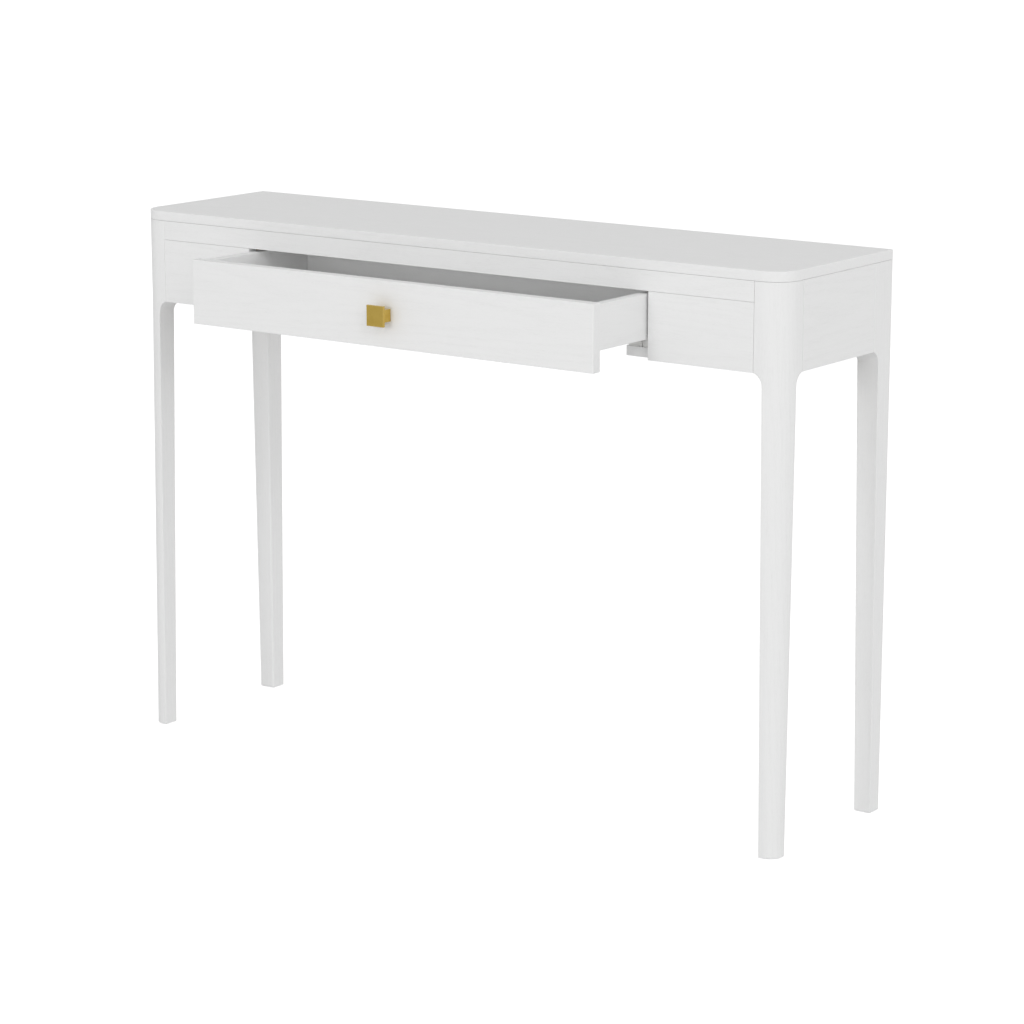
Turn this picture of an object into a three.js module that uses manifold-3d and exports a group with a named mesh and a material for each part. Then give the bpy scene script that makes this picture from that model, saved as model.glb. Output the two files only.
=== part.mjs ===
// Narrow white writing desk: four tapered legs, a railed carcass and one wide drawer on
// telescopic undermount slides, shown with the drawer part open. Millimetres, +Z up, front
// towards -Y. The origin is on the floor, under the middle of the whole outline.

import * as THREE from 'three';
import { mergeVertices } from 'three/addons/utils/BufferGeometryUtils.js';
import Module from 'manifold-3d';

const wasm = await Module();
wasm.setup();

// ---- driving dimensions -------------------------------------------------------------

const deskLength = 1200;
const deskDepth = 300;
const deskHeight = 850;
const gap = 0.3; // clearance left where two pieces meet

const topThickness = 15;
const topCornerRadius = 40;
const boardThickness = 18; // aprons, fixed front panels and rail
const apronBottom = 705;
const railHeight = 30;

const legBlock = 50; // square head of each leg, up to the top
const legFoot = { width: 28, depth: 27 };
const legNeck = { width: 36.2, depth: 35.8 }; // where the taper ends, under the haunch
const haunchRadius = 20;
const footCornerRadius = 21;
const squareCornerRadius = 1.5;
const innerCornerRadius = 3;

const openingHalf = 373.3; // half width of the drawer opening
const drawerOpen = 133.5; // how far the drawer stands out of the desk
const drawerFront = { half: 371.3, bottom: 704.3, top: 803, thickness: 17.5 };
const drawerBox = { half: 370, bottom: 734.5, top: 800.5, side: 15, back: 12, inside: 234.5 };
const drawerFloor = { recess: 6.5, thickness: 5, groove: 6 };

const knobPlate = { size: 31, thickness: 4.5 };
const knobStem = { width: 26, height: 18.5, length: 17 };
const knobBolt = { radius: 2, length: 24, headRadius: 4.5, headHeight: 2.4 };

const divider = { setBack: 2.7, thickness: 15 };
const runner = { inner: 324.3, outer: 430, thickness: 15 };

const slide = { centre: 339.5, width: 24, gauge: 1.5, lip: 6, start: 1 };
const slideBase = { length: 246, height: 12.5 };
const slideTop = { length: 244, height: 7.1 };
const slideMiddle = { length: 232, flange: 18, web: 7, rise: 8.3, lower: 2, upper: 2.4, play: 1 };

const cornerBlock = { clear: 2, depth: 26, height: 44 };
const hangerBolt = { radius: 4, length: 62, inLeg: 26 };
const nut = { acrossFlats: 13, height: 6.5 };

const topScrew = { radius: 2, length: 54, headRadius: 4, spread: 30 };
const railScrew = { radius: 2, length: 40, headRadius: 4, x: 200 };
const dividerScrew = { radius: 2, length: 40, headRadius: 4, y: 80 };
const slideScrew = { radius: 1.75, length: 12, headRadius: 3.4 };
const floorScrew = { radius: 1.75, length: 5.4, headRadius: 3.4 };

// ---- worked out from them -----------------------------------------------------------

const halfLength = deskLength / 2;
const front = -deskDepth / 2;
const rear = deskDepth / 2;
const topUnderside = deskHeight - topThickness;
const frameTop = topUnderside - gap;
const railBottom = topUnderside - railHeight;
const panelTop = railBottom - gap;
const legInner = halfLength - legBlock;
const legRear = front + legBlock; // inner face of a front leg's head
const panelBack = front + boardThickness;
const sideInside = halfLength - boardThickness;
const haunchWidth = legBlock - legNeck.width;
const haunchHeight = Math.sqrt(haunchRadius ** 2 - (haunchRadius - haunchWidth) ** 2);
const neckHeight = apronBottom - haunchHeight;

const runnerTop = apronBottom + runner.thickness;
const dividerInner = openingHalf + divider.setBack;
const slideStart = panelBack + slide.start;
const slideBottom = runnerTop + gap;

const drawerFace = front - drawerOpen;
const drawerFaceBack = drawerFace + drawerFront.thickness;
const drawerBackFace = drawerFaceBack + drawerBox.inside;
const drawerRear = drawerBackFace + drawerBox.back;
const drawerInner = drawerBox.half - drawerBox.side;
const floorBottom = drawerBox.bottom + drawerFloor.recess;
const floorTop = floorBottom + drawerFloor.thickness;
const knobHeight = (drawerFront.bottom + drawerFront.top) / 2;
const knobReach = knobStem.length + knobPlate.thickness;

// ---- materials ----------------------------------------------------------------------

const finish = (color, roughness, metalness = 0) =>
  new THREE.MeshStandardMaterial({ color, roughness, metalness });
const whitePaint = () => finish(0xf1f1ef, 0.55);
const bareWood = () => finish(0xcdb58c, 0.7);
const goldBrass = () => finish(0xb8963f, 0.22, 1);
const zincSteel = () => finish(0xaeb2b5, 0.38, 1);
const whiteCoatedSteel = () => finish(0xe8e8e4, 0.4);
const yellowSteel = () => finish(0xb9a468, 0.4, 1);

// ---- building helpers ---------------------------------------------------------------

const desk = new THREE.Group();
desk.position.y = (drawerOpen + knobReach) / 2;

function add(name, geometry, material) {
  const mesh = new THREE.Mesh(geometry, material);
  mesh.name = name;
  desk.add(mesh);
  return mesh;
}

// A right-hand piece and its mirror image on the left.
function addPair(name, geometry, makeMaterial) {
  for (const [side, sign] of [['left', -1], ['right', 1]]) {
    add(`${name}_${side}`, geometry, makeMaterial()).scale.x = sign;
  }
}

// A piece at the front right corner and its mirror images at the other three.
function addAtCorners(name, makeGeometry, makeMaterial) {
  for (const [end, isFront] of [['front', true], ['rear', false]]) {
    const geometry = makeGeometry(isFront);
    for (const [side, sign] of [['left', -1], ['right', 1]]) {
      add(`${name}_${end}_${side}`, geometry, makeMaterial()).scale.set(sign, isFront ? 1 : -1, 1);
    }
  }
}

// A board from its lowest and highest corners.
function board(low, high) {
  const size = high.map((value, axis) => value - low[axis]);
  const middle = high.map((value, axis) => (value + low[axis]) / 2);
  return new THREE.BoxGeometry(...size).translate(...middle);
}

function toSolid(geometry) {
  const bare = geometry.clone();
  bare.deleteAttribute('normal');
  bare.deleteAttribute('uv');
  const merged = mergeVertices(bare, 1e-4);
  return new wasm.Manifold(new wasm.Mesh({
    numProp: 3,
    vertProperties: new Float32Array(merged.attributes.position.array),
    triVerts: new Uint32Array(merged.index.array),
  }));
}

// The geometry with every tool's volume taken out of it.
function cut(geometry, tools) {
  let solid = toSolid(geometry);
  for (const tool of tools) solid = solid.subtract(toSolid(tool));
  const mesh = solid.getMesh();
  const result = new THREE.BufferGeometry();
  result.setAttribute('position', new THREE.BufferAttribute(mesh.vertProperties, 3));
  result.setIndex(new THREE.BufferAttribute(mesh.triVerts, 1));
  return result;
}

// A closed solid through level outlines of equal point count, from the lowest up.
function loft(levels) {
  const count = levels[0].points.length;
  const top = (levels.length - 1) * count;
  const positions = levels.flatMap(({ z, points }) => points.flatMap(([x, y]) => [x, y, z]));
  const index = [];
  for (let row = 0; row < top; row += count) {
    for (let i = 0; i < count; i++) {
      const a = row + i;
      const b = row + (i + 1) % count;
      index.push(a, b, b + count, a, b + count, a + count);
    }
  }
  const capOf = ({ points }) => THREE.ShapeUtils.triangulateShape(
    points.map(([x, y]) => new THREE.Vector2(x, y)), []);
  for (const [a, b, c] of capOf(levels[0])) index.push(a, c, b);
  for (const [a, b, c] of capOf(levels.at(-1))) index.push(a + top, b + top, c + top);
  const geometry = new THREE.BufferGeometry();
  geometry.setAttribute('position', new THREE.Float32BufferAttribute(positions, 3));
  geometry.setIndex(index);
  return geometry;
}

// Points of a round corner about a centre, from one angle to another in degrees.
function arc(x, y, radius, from, to, steps) {
  return Array.from({ length: steps + 1 }, (unused, i) => {
    const angle = THREE.MathUtils.degToRad(from + (to - from) * i / steps);
    return [x + radius * Math.cos(angle), y + radius * Math.sin(angle)];
  });
}

// A section in X and Z, run along +Y from the given start.
function runAlong(points, start, length) {
  const shape = new THREE.Shape(points.map(([x, z]) => new THREE.Vector2(x, z)));
  return new THREE.ExtrudeGeometry(shape, { depth: length, bevelEnabled: false })
    .rotateX(Math.PI / 2).translate(0, start + length, 0);
}

// A turned solid along +Z from [radius, height] points that start and end on the axis.
const turned = (profile, sides) => new THREE.LatheGeometry(
  profile.map(([x, y]) => new THREE.Vector2(x, y)), sides).rotateX(Math.PI / 2);

// A countersunk wood screw pointing along +Z, the flat of its head at the origin.
const screw = ({ radius, length, headRadius }) => turned([
  [0, 0], [headRadius, 0], [headRadius, 0.4], [radius, headRadius - radius + 0.4],
  [radius, length - radius * 2], [0, length],
], 12);

// The hole that such a screw sits in, open at its head.
const screwHole = ({ radius, length, headRadius }) => turned([
  [0, -1], [headRadius + gap, -1], [headRadius + gap, 0.4 + gap],
  [radius + gap, headRadius - radius + 0.4 + gap], [radius + gap, length + gap],
  [0, length + gap],
], 12);

// ---- tabletop, rail and their screws ------------------------------------------------

const blockMiddle = cornerBlock.clear + cornerBlock.depth / 2;

// Distance along the diagonal of the front right corner, counted inwards from the leg.
const onDiagonal = (inwards, across = 0) => new THREE.Vector3(
  legInner + (across - inwards) / Math.SQRT2, legRear + (across + inwards) / Math.SQRT2, 0);

const topScrewPlace = onDiagonal(blockMiddle, -topScrew.spread)
  .setZ(frameTop - cornerBlock.height);
const atTopScrew = (geometry, signX, signY) => geometry.translate(
  topScrewPlace.x * signX, topScrewPlace.y * signY, topScrewPlace.z);
const atRailScrew = (geometry, sign) => geometry.translate(
  railScrew.x * sign, (front + panelBack) / 2, railBottom);

function makeTabletop() {
  const r = topCornerRadius;
  const s = squareCornerRadius;
  const points = [
    ...arc(-halfLength + r, front + r, r, 180, 270, 12),
    ...arc(halfLength - r, front + r, r, 270, 360, 12),
    ...arc(halfLength - s, rear - s, s, 0, 90, 2),
    ...arc(-halfLength + s, rear - s, s, 90, 180, 2),
  ];
  const holes = [];
  for (const signX of [-1, 1]) {
    holes.push(atRailScrew(screwHole(railScrew), signX));
    for (const signY of [-1, 1]) holes.push(atTopScrew(screwHole(topScrew), signX, signY));
  }
  const slab = loft([{ z: topUnderside, points }, { z: deskHeight, points }]);
  add('tabletop', cut(slab, holes), whitePaint());
}

function makeFrontRail() {
  const rail = board(
    [-legInner + gap, front, railBottom],
    [legInner - gap, panelBack, frameTop],
  );
  const holes = [-1, 1].map((sign) => atRailScrew(screwHole(railScrew), sign));
  add('front_rail', cut(rail, holes), whitePaint());
  addPair('rail_screw', atRailScrew(screw(railScrew), 1), yellowSteel);
}

// ---- legs and corner joints ---------------------------------------------------------

const boltHeight = frameTop - cornerBlock.height / 2;

// A rod lying along the corner diagonal, from a distance inside the leg, towards the desk.
const alongDiagonal = (geometry, inwards) => geometry.rotateY(-Math.PI / 2)
  .rotateZ(-Math.PI / 4).translate(...onDiagonal(inwards).setZ(boltHeight));

const rod = (radius, length, sides = 16) => turned(
  [[0, 0], [radius, 0], [radius, length], [0, length]], sides);

// Leg size at a height: a long taper, a round haunch, then the square head.
function legSize(z, neck, foot) {
  if (z >= apronBottom) return legBlock;
  if (z <= neckHeight) return foot + (neck - foot) * z / neckHeight;
  const rise = haunchRadius - Math.sqrt(haunchRadius ** 2 - (z - neckHeight) ** 2);
  return neck + (legBlock - neck) * rise / haunchWidth;
}

// Level outline of the front right leg; a rear leg's outer corner stays square.
function legOutline(z, isFront) {
  const width = legSize(z, legNeck.width, legFoot.width);
  const depth = legSize(z, legNeck.depth, legFoot.depth);
  const grown = THREE.MathUtils.lerp(
    footCornerRadius, topCornerRadius, Math.min(z / apronBottom, 1));
  const radius = isFront ? grown : squareCornerRadius;
  const missing = (size) => THREE.MathUtils.radToDeg(Math.asin(Math.max(0, 1 - size / radius)));
  const round = arc(halfLength - radius, front + radius, radius,
    270 + missing(width), 360 - missing(depth), isFront ? 9 : 2);
  const faceStart = width > radius ? [[halfLength - width, front]] : [];
  const faceEnd = depth > radius ? [[halfLength, front + depth]] : [];
  return [...faceStart, ...round, ...faceEnd, ...arc(
    halfLength - width + innerCornerRadius, front + depth - innerCornerRadius,
    innerCornerRadius, 90, 180, 3)];
}

// Outlines with one point count: the round part takes up the points that flat faces lack.
function evenOutline(z, isFront, count) {
  const points = legOutline(z, isFront);
  while (points.length < count) {
    const [a, b] = points;
    points.splice(1, 0, [(a[0] + b[0]) / 2, (a[1] + b[1]) / 2]);
  }
  return points;
}

function makeLeg(isFront) {
  const haunchSteps = 6;
  const heights = [0];
  for (let i = 0; i <= haunchSteps; i++) {
    heights.push(neckHeight + haunchHeight * Math.sin(i / haunchSteps * Math.PI / 2));
  }
  heights.push(frameTop);
  const count = legOutline(frameTop, isFront).length;
  const leg = loft(heights.map((z) => ({ z, points: evenOutline(z, isFront, count) })));
  const hole = alongDiagonal(
    rod(hangerBolt.radius + gap, hangerBolt.inLeg + gap + 20), -hangerBolt.inLeg - gap);
  return cut(leg, [hole]);
}

// Diagonal block between the side apron and the front panel or back apron.
function makeCornerBlock() {
  const ends = [cornerBlock.clear, cornerBlock.clear + cornerBlock.depth];
  const onSide = ends.map((inwards) => {
    const x = sideInside - gap;
    return [x, legRear + (x - legInner) + inwards * Math.SQRT2];
  });
  const onPanel = ends.map((inwards) => {
    const y = panelBack + gap;
    return [legInner + (y - legRear) - inwards * Math.SQRT2, y];
  });
  const points = [onSide[0], onSide[1], onPanel[1], onPanel[0]];
  const block = loft([{ z: frameTop - cornerBlock.height, points }, { z: frameTop, points }]);
  return cut(block, [
    alongDiagonal(rod(hangerBolt.radius + gap, hangerBolt.length), -hangerBolt.inLeg),
    atTopScrew(screwHole(topScrew), 1, 1),
  ]);
}

function makeHexNut() {
  const body = rod(nut.acrossFlats / Math.sqrt(3), nut.height, 6);
  const bore = rod(hangerBolt.radius + gap, nut.height + 2).translate(0, 0, -1);
  return alongDiagonal(cut(body, [bore]), cornerBlock.clear + cornerBlock.depth + gap);
}

function makeLegsAndCorners() {
  addAtCorners('leg', makeLeg, whitePaint);
  addAtCorners('corner_block', makeCornerBlock, bareWood);
  addAtCorners('hanger_bolt', () => alongDiagonal(
    rod(hangerBolt.radius, hangerBolt.length), -hangerBolt.inLeg), zincSteel);
  addAtCorners('corner_nut', makeHexNut, zincSteel);
  addAtCorners('top_screw', () => atTopScrew(screw(topScrew), 1, 1), yellowSteel);
}

// ---- aprons, fixed front panels, dividers and runner boards -------------------------

const dividerScrewPlaces = [-dividerScrew.y, dividerScrew.y].map((y) =>
  [dividerInner + divider.thickness / 2, y, apronBottom]);
const slideScrewPlaces = [0.2, 0.8].map((part) =>
  [slide.centre, slideStart + slideBase.length * part, slideBottom + slide.gauge]);
const downwards = (geometry) => geometry.rotateX(Math.PI);

function makeCarcass() {
  addPair('side_apron', board(
    [sideInside, legRear + gap, apronBottom],
    [halfLength, -legRear - gap, frameTop],
  ), whitePaint);
  add('back_apron', board(
    [-legInner + gap, rear - boardThickness, apronBottom],
    [legInner - gap, rear, frameTop],
  ), whitePaint());
  addPair('front_panel', board(
    [openingHalf, front, apronBottom],
    [legInner - gap, panelBack, panelTop],
  ), whitePaint);

  const dividerHoles = dividerScrewPlaces.map((place) =>
    screwHole(dividerScrew).translate(...place));
  const slideHoles = slideScrewPlaces.map((place) =>
    downwards(screwHole(slideScrew)).translate(...place));
  addPair('divider', cut(board(
    [dividerInner, panelBack + gap, runnerTop + gap],
    [dividerInner + divider.thickness, rear - boardThickness - gap, frameTop],
  ), dividerHoles), bareWood);
  addPair('runner_board', cut(board(
    [runner.inner, panelBack + gap, apronBottom],
    [runner.outer, rear - boardThickness - gap, runnerTop],
  ), [...dividerHoles, ...slideHoles]), whitePaint);
  ['front', 'rear'].forEach((end, i) => addPair(`divider_screw_${end}`,
    screw(dividerScrew).translate(...dividerScrewPlaces[i]), yellowSteel));
}

// ---- undermount slides --------------------------------------------------------------

// Open channel with inturned lips, its mouth up, or down when it is turned over.
function channel(bottom, height, isInverted) {
  const half = slide.width / 2;
  const wall = half - slide.gauge;
  const mouth = half - slide.lip;
  const profile = [
    [-half, 0], [half, 0], [half, height], [mouth, height], [mouth, height - slide.gauge],
    [wall, height - slide.gauge], [wall, slide.gauge], [-wall, slide.gauge],
    [-wall, height - slide.gauge], [-mouth, height - slide.gauge], [-mouth, height],
    [-half, height],
  ];
  const level = (z) => (isInverted ? bottom + height - z : bottom + z);
  return profile.map(([x, z]) => [slide.centre + x, level(z)]);
}

function makeSlides() {
  const holes = slideScrewPlaces.map((place) =>
    downwards(screwHole(slideScrew)).translate(...place));
  addPair('slide_base', cut(
    runAlong(channel(slideBottom, slideBase.height, false), slideStart, slideBase.length), holes,
  ), whiteCoatedSteel);
  ['front', 'rear'].forEach((end, i) => addPair(`slide_screw_${end}`,
    downwards(screw(slideScrew)).translate(...slideScrewPlaces[i]), zincSteel));

  const flange = slideMiddle.flange / 2;
  const web = slideMiddle.web / 2;
  const low = slideBottom + slideMiddle.rise;
  const lowTop = low + slideMiddle.lower;
  const high = floorBottom - gap - slide.gauge - slideMiddle.play;
  const highBottom = high - slideMiddle.upper;
  const middle = [
    [-flange, low], [flange, low], [flange, lowTop], [web, lowTop], [web, highBottom],
    [flange, highBottom], [flange, high], [-flange, high], [-flange, highBottom],
    [-web, highBottom], [-web, lowTop], [-flange, lowTop],
  ].map(([x, z]) => [slide.centre + x, z]);
  addPair('slide_middle',
    runAlong(middle, slideStart - drawerOpen / 2, slideMiddle.length), whiteCoatedSteel);
}

// ---- drawer -------------------------------------------------------------------------

const slideTopStart = drawerFaceBack + slide.start;
const floorScrewPlaces = [0.15, 0.85].map((part) =>
  [slide.centre, slideTopStart + slideTop.length * part, floorBottom - gap - slide.gauge]);

function makeDrawer() {
  const grooveFloor = floorBottom - gap;
  const grooveRoof = floorTop + gap;
  const knobBoltHole = rod(knobBolt.radius + gap, drawerFront.thickness + 2)
    .rotateX(Math.PI / 2).translate(0, drawerFaceBack + 1, knobHeight);
  const frontGroove = board(
    [-drawerInner - drawerFloor.groove, drawerFaceBack - drawerFloor.groove, grooveFloor],
    [drawerInner + drawerFloor.groove, drawerFaceBack + 1, grooveRoof],
  );
  add('drawer_front', cut(board(
    [-drawerFront.half, drawerFace, drawerFront.bottom],
    [drawerFront.half, drawerFaceBack, drawerFront.top],
  ), [knobBoltHole, frontGroove]), whitePaint());

  const sideGroove = board(
    [drawerInner - 1, drawerFaceBack, grooveFloor],
    [drawerInner + drawerFloor.groove, drawerRear + 1, grooveRoof],
  );
  addPair('drawer_side', cut(board(
    [drawerInner, drawerFaceBack + gap, drawerBox.bottom],
    [drawerBox.half, drawerRear, drawerBox.top],
  ), [sideGroove]), whitePaint);
  add('drawer_back', board(
    [-drawerInner + gap, drawerBackFace, grooveRoof],
    [drawerInner - gap, drawerRear, drawerBox.top],
  ), whitePaint());

  const floorHalf = drawerInner + drawerFloor.groove - gap;
  const floorHoles = floorScrewPlaces.map((place) => screwHole(floorScrew).translate(...place));
  const bothSides = floorHoles.flatMap((hole) => [hole, hole.clone().translate(
    -2 * slide.centre, 0, 0)]);
  add('drawer_bottom', cut(board(
    [-floorHalf, drawerFaceBack - drawerFloor.groove + gap, floorBottom],
    [floorHalf, drawerRear, floorTop],
  ), bothSides), whitePaint());
  addPair('slide_top', cut(runAlong(
    channel(floorBottom - gap - slideTop.height, slideTop.height, true),
    slideTopStart, slideTop.length,
  ), floorHoles), whiteCoatedSteel);
  ['front', 'rear'].forEach((end, i) => addPair(`floor_screw_${end}`,
    screw(floorScrew).translate(...floorScrewPlaces[i]), zincSteel));
}

function makeKnob() {
  const stemBack = drawerFace - gap;
  const stemFront = drawerFace - knobStem.length + gap;
  const boltDepth = knobBolt.length - drawerFront.thickness;
  const stemHole = rod(knobBolt.radius + gap, boltDepth + gap + 1)
    .rotateX(Math.PI / 2).translate(0, drawerFace + 1, knobHeight);
  add('knob_stem', cut(board(
    [-knobStem.width / 2, stemFront, knobHeight - knobStem.height / 2],
    [knobStem.width / 2, stemBack, knobHeight + knobStem.height / 2],
  ), [stemHole]), goldBrass());
  add('knob_plate', board(
    [-knobPlate.size / 2, drawerFace - knobReach, knobHeight - knobPlate.size / 2],
    [knobPlate.size / 2, drawerFace - knobStem.length, knobHeight + knobPlate.size / 2],
  ), goldBrass());
  add('knob_screw', turned([
    [0, -knobBolt.headHeight], [knobBolt.headRadius, -knobBolt.headHeight],
    [knobBolt.headRadius, -gap], [knobBolt.radius, -gap],
    [knobBolt.radius, knobBolt.length], [0, knobBolt.length],
  ], 16).rotateX(Math.PI / 2).translate(0, drawerFaceBack, knobHeight), zincSteel());
}

makeTabletop();
makeFrontRail();
makeLegsAndCorners();
makeCarcass();
makeSlides();
makeDrawer();
makeKnob();

export default desk;
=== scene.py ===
# Narrow white writing desk with one wide drawer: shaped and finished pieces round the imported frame.
# Everything is in metres, front towards -Y. Sizes below are given in millimetres, times mm.
import math
import random

import bmesh
import bpy
from mathutils import Matrix, Vector


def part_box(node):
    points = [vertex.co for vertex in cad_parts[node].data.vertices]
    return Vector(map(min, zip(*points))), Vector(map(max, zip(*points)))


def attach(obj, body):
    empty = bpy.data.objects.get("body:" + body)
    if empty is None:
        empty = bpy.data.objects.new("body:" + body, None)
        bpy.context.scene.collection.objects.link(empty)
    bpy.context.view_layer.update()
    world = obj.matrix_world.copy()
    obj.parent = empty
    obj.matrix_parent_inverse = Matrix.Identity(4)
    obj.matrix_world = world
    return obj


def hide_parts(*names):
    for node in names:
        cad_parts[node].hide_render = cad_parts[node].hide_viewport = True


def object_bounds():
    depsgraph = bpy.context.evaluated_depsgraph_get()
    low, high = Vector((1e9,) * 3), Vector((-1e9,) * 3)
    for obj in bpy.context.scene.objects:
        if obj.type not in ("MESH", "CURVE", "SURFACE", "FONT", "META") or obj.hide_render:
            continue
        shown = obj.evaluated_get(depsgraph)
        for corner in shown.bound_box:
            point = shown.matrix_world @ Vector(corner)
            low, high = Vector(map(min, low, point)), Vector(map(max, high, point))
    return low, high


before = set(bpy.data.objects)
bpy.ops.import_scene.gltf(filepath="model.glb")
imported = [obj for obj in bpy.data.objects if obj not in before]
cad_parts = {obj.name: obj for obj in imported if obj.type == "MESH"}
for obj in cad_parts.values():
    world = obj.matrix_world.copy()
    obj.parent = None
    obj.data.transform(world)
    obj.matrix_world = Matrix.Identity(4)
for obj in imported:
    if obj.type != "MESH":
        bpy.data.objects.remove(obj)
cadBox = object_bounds()
scene = bpy.context.scene
mm = 0.001
sides = (("left", -1), ("right", 1))
ends = (("front", -1), ("rear", 1))

# camera, at the height of someone standing in front of the right end

camera = {"place": (2.840, -3.778, 1.480), "turn": 36.14, "tilt": 12.63, "lens": 111.1, "reach": 100}


def makeCamera():
    data = bpy.data.cameras.new("camera")
    data.lens = camera["lens"]
    data.clip_end = camera["reach"]
    eye = bpy.data.objects.new("camera", data)
    eye.location = camera["place"]
    eye.rotation_euler = (math.radians(90 - camera["tilt"]), 0, math.radians(camera["turn"]))
    scene.collection.objects.link(eye)
    scene.camera = eye
    print("camera done")


# node helpers


def addNode(tree, kind, inputs=None, **settings):
    node = tree.nodes.new("ShaderNode" + kind)
    for key, value in settings.items():
        setattr(node, key, value)
    for key, value in (inputs or {}).items():
        if isinstance(value, bpy.types.NodeSocket):
            tree.links.new(value, node.inputs[key])
        else:
            node.inputs[key].default_value = value
    return node


def calc(tree, operation, *values, clamp=False):
    node = addNode(tree, "Math", dict(enumerate(values)), operation=operation, use_clamp=clamp)
    return node.outputs[0]


def remap(tree, value, low, high, toLow=0.0, toHigh=1.0):
    inputs = {"Value": value, "From Min": low, "From Max": high, "To Min": toLow, "To Max": toHigh}
    return addNode(tree, "MapRange", inputs, clamp=True).outputs[0]


def mixColours(tree, factor, first, second):
    node = addNode(tree, "Mix", {0: factor, 6: first, 7: second}, data_type="RGBA")
    return node.outputs[2]


def noiseAt(tree, place, stretch, detail=2.0, distortion=0.0):
    scaled = addNode(tree, "VectorMath", {0: place, 1: stretch}, operation="MULTIPLY")
    inputs = {"Vector": scaled.outputs[0], "Scale": 1.0, "Detail": detail, "Distortion": distortion}
    return addNode(tree, "TexNoise", inputs).outputs[0]


def newGroup(name, inputs, outputs):
    tree = bpy.data.node_groups.new(name, "ShaderNodeTree")
    for label, value in inputs.items():
        socket = tree.interface.new_socket(label, in_out="INPUT", socket_type="NodeSocketFloat")
        socket.default_value = value
    for label in outputs:
        tree.interface.new_socket(label, in_out="OUTPUT", socket_type="NodeSocketFloat")
    return tree, tree.nodes.new("NodeGroupInput").outputs, tree.nodes.new("NodeGroupOutput").inputs


def placeGroup(tree, group, **values):
    node = tree.nodes.new("ShaderNodeGroup")
    node.node_tree = group
    for key, value in values.items():
        label = key[0].upper() + key[1:]
        if isinstance(value, bpy.types.NodeSocket):
            tree.links.new(value, node.inputs[label])
        else:
            node.inputs[label].default_value = value
    return node.outputs


def newMaterial(name, **sockets):
    material = bpy.data.materials.new(name)
    material.use_nodes = True
    tree = material.node_tree
    shader = tree.nodes["Principled BSDF"]
    for key, value in sockets.items():
        shader.inputs[key.replace("_", " ")].default_value = value
    return material, tree, shader


def plug(tree, shader, look=None, height=None, **sockets):
    for key, value in sockets.items():
        tree.links.new(value, shader.inputs[key.replace("_", " ")])
    if height is not None:
        inputs = {"Strength": look["bump"], "Distance": look["reach"], "Height": height}
        tree.links.new(addNode(tree, "Bump", inputs).outputs[0], shader.inputs["Normal"])


# Effects that several finishes share. The point attribute "grain" holds each piece's own wood
# coordinates, x along the fibres and the pith at y = z = 0; the face attribute "edge" marks
# eased edges. Stretches are noise waves to the metre.

woodPattern = {
    "bend": (3.5, 22, 22),
    "streaks": (26, 380, 380),
    "fibres": (70, 1500, 1500),
    "cells": (150, 2600, 2600),
    "earlyFade": (0.55, 0.15),  # parts of a ring's width
    "lateRise": (0.9, 1.0),
    "crowding": 0.09,  # more pores in early wood
    "poreLimits": (0.60, 0.68),
}

def makeWoodFigure():
    look = woodPattern
    inputs = {"RingWidth": 6 * mm, "Wander": 14 * mm, "Taper": 0.03}
    tree, given, put = newGroup("wood figure", inputs, ("Ring", "Streaks", "Fibres", "Pores"))
    place = addNode(tree, "Attribute", attribute_name="grain").outputs["Vector"]
    parts = addNode(tree, "SeparateXYZ", {0: place}).outputs
    across = calc(tree, "MULTIPLY", parts["Y"], parts["Y"])
    through = calc(tree, "MULTIPLY", parts["Z"], parts["Z"])
    radius = calc(tree, "SQRT", calc(tree, "ADD", across, through))
    bend = calc(tree, "SUBTRACT", noiseAt(tree, place, look["bend"], 3), 0.5)
    radius = calc(tree, "MULTIPLY_ADD", bend, given["Wander"], radius)
    radius = calc(tree, "MULTIPLY_ADD", parts["X"], given["Taper"], radius)
    phase = calc(tree, "FRACT", calc(tree, "DIVIDE", radius, given["RingWidth"]))
    early = remap(tree, phase, *look["earlyFade"])
    rise = remap(tree, phase, *look["lateRise"])
    ring = calc(tree, "MAXIMUM", early, rise)
    streaks = noiseAt(tree, place, look["streaks"], 3, 0.4)
    fibres = noiseAt(tree, place, look["fibres"], 2)
    cells = noiseAt(tree, place, look["cells"], 1)
    crowd = calc(tree, "MULTIPLY_ADD", ring, look["crowding"], cells)
    pores = remap(tree, crowd, *look["poreLimits"])
    for label, value in (("Ring", ring), ("Streaks", streaks), ("Fibres", fibres), ("Pores", pores)):
        tree.links.new(value, put[label])
    return tree


# patches on the eased-edge mask: real wear on metal and bare wood, painted highlight on the white paint
edgeWearAndHighlight = {"patches": (90, 90, 90), "limits": (0.35, 0.65)}


def makeEdgeMask():
    tree, given, put = newGroup("eased edges", {"Patchy": 0.5}, ("Mask",))
    edge = addNode(tree, "Attribute", attribute_name="edge").outputs["Fac"]
    place = addNode(tree, "TexCoord").outputs["Object"]
    patches = remap(tree, noiseAt(tree, place, edgeWearAndHighlight["patches"], 3), *edgeWearAndHighlight["limits"])
    kept = calc(tree, "SUBTRACT", 1.0, calc(tree, "MULTIPLY", given["Patchy"], patches))
    tree.links.new(calc(tree, "MULTIPLY", edge, kept), put["Mask"])
    return tree


handlingMarks = {
    "smudges": (38, 38, 52),
    "smudgeLimits": (0.35, 0.7),
    "brushAlong": 30.0,
    "firstScratches": {"stretch": (25, 900, 1400), "angle": 0.6},
    "secondScratches": {"stretch": (1200, 1200, 22), "angle": -1.1},
    "scratchLimits": (0.70, 0.74),
}


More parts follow.
